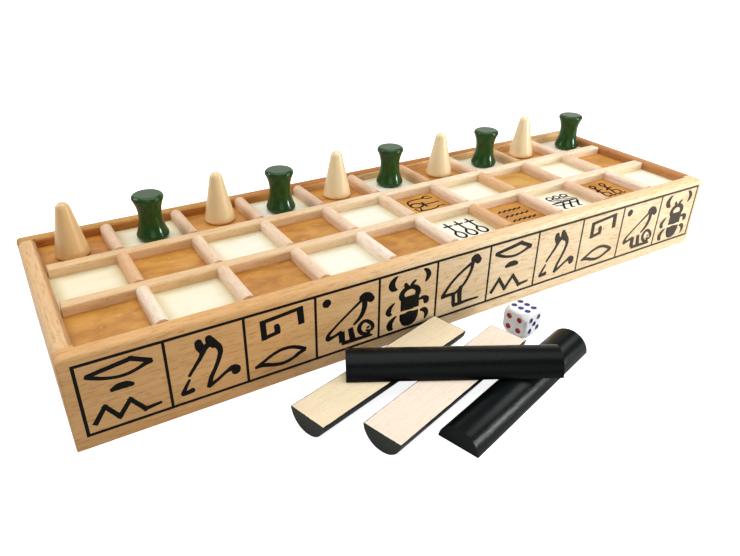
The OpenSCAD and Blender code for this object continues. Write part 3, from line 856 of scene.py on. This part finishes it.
class Pen:
    """Draws strokes on a flat sheet and lays the sheet on the object."""

    # How finely a line's section and a smooth stretch of it are divided
    sides = 2
    steps = 5
    # Where the points of a round end lie, in degrees from its widest place, and how blunt it is
    end_turns = (35, 62, 84)
    end_reach = 0.7

    def __init__(self, name):
        bpy.ops.object.select_all(action="DESELECT")
        bpy.ops.curve.primitive_bezier_curve_add(location=(0, 0, 0))
        self.sheet = bpy.context.object
        self.sheet.name = name
        self.sheet.data.splines.clear()
        self.sheet.data.dimensions = "3D"
        self.sheet.data.bevel_depth = MM
        self.sheet.data.bevel_resolution = self.sides
        self.sheet.data.use_fill_caps = True

    def line(self, knots, smooth):
        """One spline through knots, each with its place and its half width."""
        spline = self.sheet.data.splines.new("BEZIER")
        spline.bezier_points.add(len(knots) - 1)
        spline.resolution_u = self.steps if smooth else 1
        for knot, (spot, half) in zip(spline.bezier_points, knots):
            knot.co = (*spot, 0)
            knot.radius = half / MM
            knot.handle_left_type = "AUTO" if smooth else "VECTOR"
            knot.handle_right_type = knot.handle_left_type

    def round_end(self, end, before):
        """Extra knots that round a stroke off beyond its end, seen from the knot before it."""
        spot, half = end
        way = (spot - before[0]).normalized()
        knots = []
        for turn in self.end_turns:
            ahead = self.end_reach * half * math.sin(math.radians(turn))
            knots.append((spot + way * ahead, half * math.cos(math.radians(turn))))
        return knots

    def brush(self, knots):
        """A smooth stroke with round ends."""
        head = self.round_end(knots[0], knots[1])[::-1]
        tail = self.round_end(knots[-1], knots[-2])
        self.line(head + knots + tail, True)

    def rule(self, knots, square_ends=False):
        """Straight strokes, each as wide all along, that meet in full corners."""
        last = len(knots) - 2
        for n, (start, end) in enumerate(zip(knots, knots[1:])):
            way = (end[0] - start[0]).normalized()
            before = way * start[1] if n > 0 or square_ends else Vector((0, 0))
            after = way * end[1] if n < last or square_ends else Vector((0, 0))
            self.line([(start[0] - before, start[1]), (end[0] + after, end[1])], False)

    def figure(self, strokes, corner, size, unit):
        """Strokes in hundredths of a cell of a size, with half widths in a unit."""
        for points, smooth in strokes:
            knots = [
                (Vector((corner[0] + x / 100 * size[0], corner[1] + y / 100 * size[1])),
                 half * unit)
                for x, y, half in points]
            if smooth:
                self.brush(knots)
            else:
                self.rule(knots)

    def lay(self, where, rise, upright, body, material):
        """Turns the strokes into a thin printed mesh, puts it in place and lets it ride."""
        bpy.ops.object.convert(target="MESH")
        printed = bpy.context.object
        printed.scale = (1, 1, rise)
        printed.rotation_euler = (math.radians(90) if upright else 0, 0, 0)
        printed.location = where
        bpy.ops.object.transform_apply(location=True, rotation=True, scale=True)
        bpy.ops.object.shade_smooth()
        printed.data.materials.clear()
        printed.data.materials.append(material)
        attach(printed, body)


class SceneOperator:
    """What the operators share."""
    bl_options = {"REGISTER"}


class SENET_OT_walls(SceneOperator, bpy.types.Operator):
    """Dresses the walls and the bar over the drawer in varnished beech"""
    bl_idname = "senet.walls"
    bl_label = "Walls"

    def execute(self, context):
        wood = context.scene.senet_wood
        near = (wood.beech, wood.beech_light)
        back = (wood.beech_brown, wood.rail)
        right = (wood.beech_rosy, wood.beech_light)
        # The front's darker left end is painted shade
        dress(["front_board"],
              beech("beech_front", near, "X", (0, 20, 0), wood, TONE_AND_LIGHT_FADE, patch=shaded_left_of_front))
        # The back wall's brown at the left is partly painted shade on its inner face
        dress(["back_board"],
              beech("beech_back", back, "X", (40, 8, -6), wood, BACK_TONE_AND_SHADE_FADE, BACK_LAG,
                    left_of_back, FAR_GLOSS))
        # The left end's inner edge is darkened with painted shade
        dress(["left_end"],
              beech("beech_left", near, "Y", (14, 30, 4), wood, 0.35, patch=shaded_inner_edge))
        dress(["right_end"],
              beech("beech_right", right, "Y", (-9, 10, 9), wood, gloss=FAR_GLOSS))
        return {"FINISHED"}


class SENET_OT_strips(SceneOperator, bpy.types.Operator):
    """Dresses the rails and the strips between the squares in paler beech"""
    bl_idname = "senet.strips"
    bl_label = "Rails and strips"

    def execute(self, context):
        wood = context.scene.senet_wood
        for side, off in (("front", (0, 4, 0)), ("back", (50, 9, 3))):
            # The rails pale towards the right with a painted sheen
            rail = strip_wood(f"beech_{side}_rail", wood.rail, "X", off, wood, 0.1, wood.rail_light)
            dress([f"{side}_rail"], rail)
        strips = [f"divider_{row}_{gap}" for row in ROW_NAMES for gap in range(1, COLUMNS)]
        # The dusky strips are partly painted shade from the pawns
        for tone, nodes, off, streaky in (
                ("rosy", strips, (9, 40, 2), 0.3),
                ("pale", PALE_STRIPS, (3, 90, 5), 0.2),
                ("dusky", DUSKY_AND_SHADED_STRIPS, (6, 70, 1), 0.3),
                ("tan", TAN_STRIPS, (5, 10, 8), 0.2)):
            tint = getattr(wood, f"{tone}_strip")
            dress(nodes, strip_wood(f"beech_{tone}_strips", tint, "Y", off, wood, streaky))
        return {"FINISHED"}


class SENET_OT_panels(SceneOperator, bpy.types.Operator):
    """Dresses the squares and the plain panels"""
    bl_idname = "senet.panels"
    bl_label = "Squares and panels"

    def execute(self, context):
        panel = context.scene.senet_panel
        dress(["play_panel"], squares("squares", panel))
        dress(["base_panel", "drawer_bottom"], plain_ply("plywood", panel))
        return {"FINISHED"}


class SENET_OT_drawer(SceneOperator, bpy.types.Operator):
    """Dresses the drawer, its knob and its stop"""
    bl_idname = "senet.drawer"
    bl_label = "Drawer"

    def execute(self, context):
        wood = context.scene.senet_wood
        near = (wood.beech, wood.beech_light)
        front = (wood.beech_rosy, wood.beech_light)
        dress(["drawer_front"],
              beech("beech_drawer_front", front, "Y", (-30, 5, 12), wood, 0.5))
        dress(["drawer_knob"], beech("beech_knob", near, "X", (3, 3, 3), wood, 0.5))
        dress(["drawer_stop"], beech("beech_stop", near, "Y", (10, 5, 2), wood, 0.35))
        dress(["drawer_left_side", "drawer_right_side"],
              strip_wood("beech_drawer_sides", wood.rail, "X", (9, 2, 7), wood, 0.1))
        dress(["drawer_back"],
              strip_wood("beech_drawer_back", wood.rail, "Y", (2, 9, 4), wood, 0.1))
        return {"FINISHED"}


class SENET_OT_frieze(SceneOperator, bpy.types.Operator):
    """Prints the framed row of figures on the front"""
    bl_idname = "senet.frieze"
    bl_label = "Frieze"

    cells = 11

    def execute(self, context):
        settings = context.scene.senet_ink
        wide, high = settings.cell_width, settings.cell_height
        right = self.cells * wide
        frame_half, cell_half = settings.frame_line / 2, settings.cell_line / 2
        pen = Pen("frieze")
        corners = [Vector(spot) for spot in ((0, 0), (right, 0), (right, high), (0, high))]
        for start, end in zip(corners, corners[1:] + corners[:1]):
            pen.rule([(start, frame_half), (end, frame_half)], square_ends=True)
        for cell in range(1, self.cells):
            foot, top = Vector((cell * wide, 0)), Vector((cell * wide, high))
            pen.rule([(foot, cell_half), (top, cell_half)])
        for cell in range(self.cells):
            strokes = FRIEZE[cell % len(FRIEZE)]
            pen.figure(strokes, (cell * wide, 0), (wide, high), settings.bold * wide / 100)
        where = (BOARD_LEFT + settings.left_margin, FRONT_FACE, settings.bottom)
        # The ink turns grey towards the right with a painted sheen
        ink = printing_ink("frieze_ink", settings, INK_SHEEN_FADE)
        pen.lay(where, settings.rise, True, BOARD, ink)
        return {"FINISHED"}


class SENET_OT_marks(SceneOperator, bpy.types.Operator):
    """Prints the signs on the marked squares"""
    bl_idname = "senet.marks"
    bl_label = "Marks"

    def execute(self, context):
        settings = context.scene.senet_ink
        material = printing_ink("mark_ink", settings)
        for (row, column), strokes in MARKS.items():
            pen = Pen(f"mark_{row}_{column}")
            pen.figure(strokes, (0, 0), (SQUARE, SQUARE), settings.mark_line / 2)
            corner = square_corner(ROW_NAMES.index(row), column)
            pen.lay(corner, settings.rise, False, BOARD, material)
        return {"FINISHED"}


class SENET_OT_pawns(SceneOperator, bpy.types.Operator):
    """Lacquers the cones cream and the spools green"""
    bl_idname = "senet.pawns"
    bl_label = "Pawns"

    def execute(self, context):
        lacquer = context.scene.senet_lacquer
        # The cones pale towards the right with painted light
        dress(CONES, cream_lacquer("cream_lacquer", lacquer))
        dress(SPOOLS, green_lacquer("green_lacquer", lacquer))
        return {"FINISHED"}


class SENET_OT_sticks(SceneOperator, bpy.types.Operator):
    """Paints the throwing sticks black, but for their flat sides"""
    bl_idname = "senet.sticks"
    bl_label = "Throwing sticks"

    def execute(self, context):
        lacquer = context.scene.senet_lacquer
        for node, degrees in STICK_TURNS.items():
            tint = lacquer.stick_rose if node == "stick_middle" else lacquer.stick_cream
            turn = math.radians(degrees)
            dress([node], stick_paint(f"{node}_paint", node, tint, lacquer, turn))
        return {"FINISHED"}


class SENET_OT_die(SceneOperator, bpy.types.Operator):
    """Gives the die its white plastic and coloured pips"""
    bl_idname = "senet.die"
    bl_label = "Die"

    def execute(self, context):
        dress(["die"], die_plastic("die_plastic", context.scene.senet_lacquer))
        return {"FINISHED"}


class SENET_OT_stage(SceneOperator, bpy.types.Operator):
    """Sets the floor, the lamps and the camera"""
    bl_idname = "senet.stage"
    bl_label = "Stage"

    # Where the lamps look, the camera's sensor in millimetres, and how near it sees, in metres
    aim = (0.0, -0.03, 0.02)
    sensor = 36.0
    nearest = 0.01

    def floor(self, settings):
        """A plain pale floor that keeps its shadows and looks white to the camera."""
        bpy.ops.object.select_all(action="DESELECT")
        bpy.ops.mesh.primitive_plane_add(size=settings.floor_size, location=(0, 0, 0))
        plane = bpy.context.object
        plane.name = "floor"
        recipe = Recipe("floor")
        rays = recipe.add("ShaderNodeLightPath").outputs
        seen = recipe.math("MAXIMUM", rays["Is Camera Ray"], rays["Is Transmission Ray"])
        glow = recipe.add("ShaderNodeEmission", {"Strength": recipe.times(seen, settings.floor_glow)})
        both = recipe.add("ShaderNodeAddShader", {
            0: recipe.shader.outputs["BSDF"], 1: glow.outputs["Emission"]})
        recipe.put(recipe.output.inputs["Surface"], both.outputs[0])
        material = recipe.finish((*settings.floor, 1), 0.9, Specular_IOR_Level=0.1)
        plane.data.materials.append(material)

    def sky(self, settings):
        """An even grey-white light from all round, white where the camera sees it."""
        world = bpy.data.worlds.new("studio")
        bpy.context.scene.world = world
        world.use_nodes = True
        nodes = world.node_tree.nodes
        nodes.clear()
        rays = nodes.new("ShaderNodeLightPath")
        strength = nodes.new("ShaderNodeMapRange")
        strength.inputs["To Min"].default_value = settings.sky
        strength.inputs["To Max"].default_value = 1.0
        background = nodes.new("ShaderNodeBackground")
        background.inputs["Color"].default_value = (1, 1, 1, 1)
        output = nodes.new("ShaderNodeOutputWorld")
        links = world.node_tree.links
        links.new(rays.outputs["Is Camera Ray"], strength.inputs["Value"])
        links.new(strength.outputs["Result"], background.inputs["Strength"])
        links.new(background.outputs["Background"], output.inputs["Surface"])

    def lamp(self, name, where, watts, size):
        """A square soft lamp that looks at the board and that the camera doesn't see."""
        bpy.ops.object.light_add(type="AREA", location=where)
        lamp = bpy.context.object
        lamp.name = f"{name}_lamp"
        lamp.data.energy = watts
        lamp.data.size = size
        lamp.visible_camera = False
        way = Vector(self.aim) - Vector(where)
        lamp.rotation_euler = way.to_track_quat("-Z", "Y").to_euler()

    def camera(self, settings):
        """The photograph's camera."""
        bpy.ops.object.camera_add(
            location=settings.camera_place,
            rotation=(settings.camera_tilt, settings.camera_roll, settings.camera_turn))
        camera = bpy.context.object
        camera.data.lens = settings.lens_mm
        camera.data.sensor_width = self.sensor
        camera.data.shift_x = settings.shift_x
        camera.data.shift_y = settings.shift_y
        camera.data.clip_start = self.nearest
        bpy.context.scene.camera = camera

    def execute(self, context):
        settings = context.scene.senet_stage
        self.floor(settings)
        self.sky(settings)
        for name in LAMPS:
            values = [getattr(settings, f"{name}_{part}") for part in ("place", "watts", "size")]
            self.lamp(name, *values)
        self.camera(settings)
        context.scene.view_settings.view_transform = "Standard"
        return {"FINISHED"}


OPERATORS = (
    SENET_OT_walls,
    SENET_OT_strips,
    SENET_OT_panels,
    SENET_OT_drawer,
    SENET_OT_frieze,
    SENET_OT_marks,
    SENET_OT_pawns,
    SENET_OT_sticks,
    SENET_OT_die,
    SENET_OT_stage,
)


class SENET_PT_panel(bpy.types.Panel):
    """Lists the board's finishes and their settings"""
    bl_idname = "SENET_PT_panel"
    bl_label = "Senet Board"
    bl_space_type = "VIEW_3D"
    bl_region_type = "UI"
    bl_category = "Senet"

    def draw(self, context):
        for operator in OPERATORS:
            self.layout.operator(operator.bl_idname)
        for name, group in GROUPS.items():
            box = self.layout.box()
            settings = getattr(context.scene, name)
            for field in group.__annotations__:
                box.prop(settings, field)


def register():
    for group in GROUPS.values():
        bpy.utils.register_class(group)
    for name, group in GROUPS.items():
        setattr(bpy.types.Scene, name, bpy.props.PointerProperty(type=group))
    for operator in OPERATORS:
        bpy.utils.register_class(operator)
    bpy.utils.register_class(SENET_PT_panel)


def unregister():
    bpy.utils.unregister_class(SENET_PT_panel)
    for operator in reversed(OPERATORS):
        bpy.utils.unregister_class(operator)
    for name, group in GROUPS.items():
        delattr(bpy.types.Scene, name)
        bpy.utils.unregister_class(group)


def main():
    """Dresses the whole board."""
    register()
    bpy.ops.senet.walls()
    bpy.ops.senet.strips()
    bpy.ops.senet.panels()
    bpy.ops.senet.drawer()
    bpy.ops.senet.frieze()
    bpy.ops.senet.marks()
    bpy.ops.senet.pawns()
    bpy.ops.senet.sticks()
    bpy.ops.senet.die()
    bpy.ops.senet.stage()


if __name__ == "__main__":
    main()
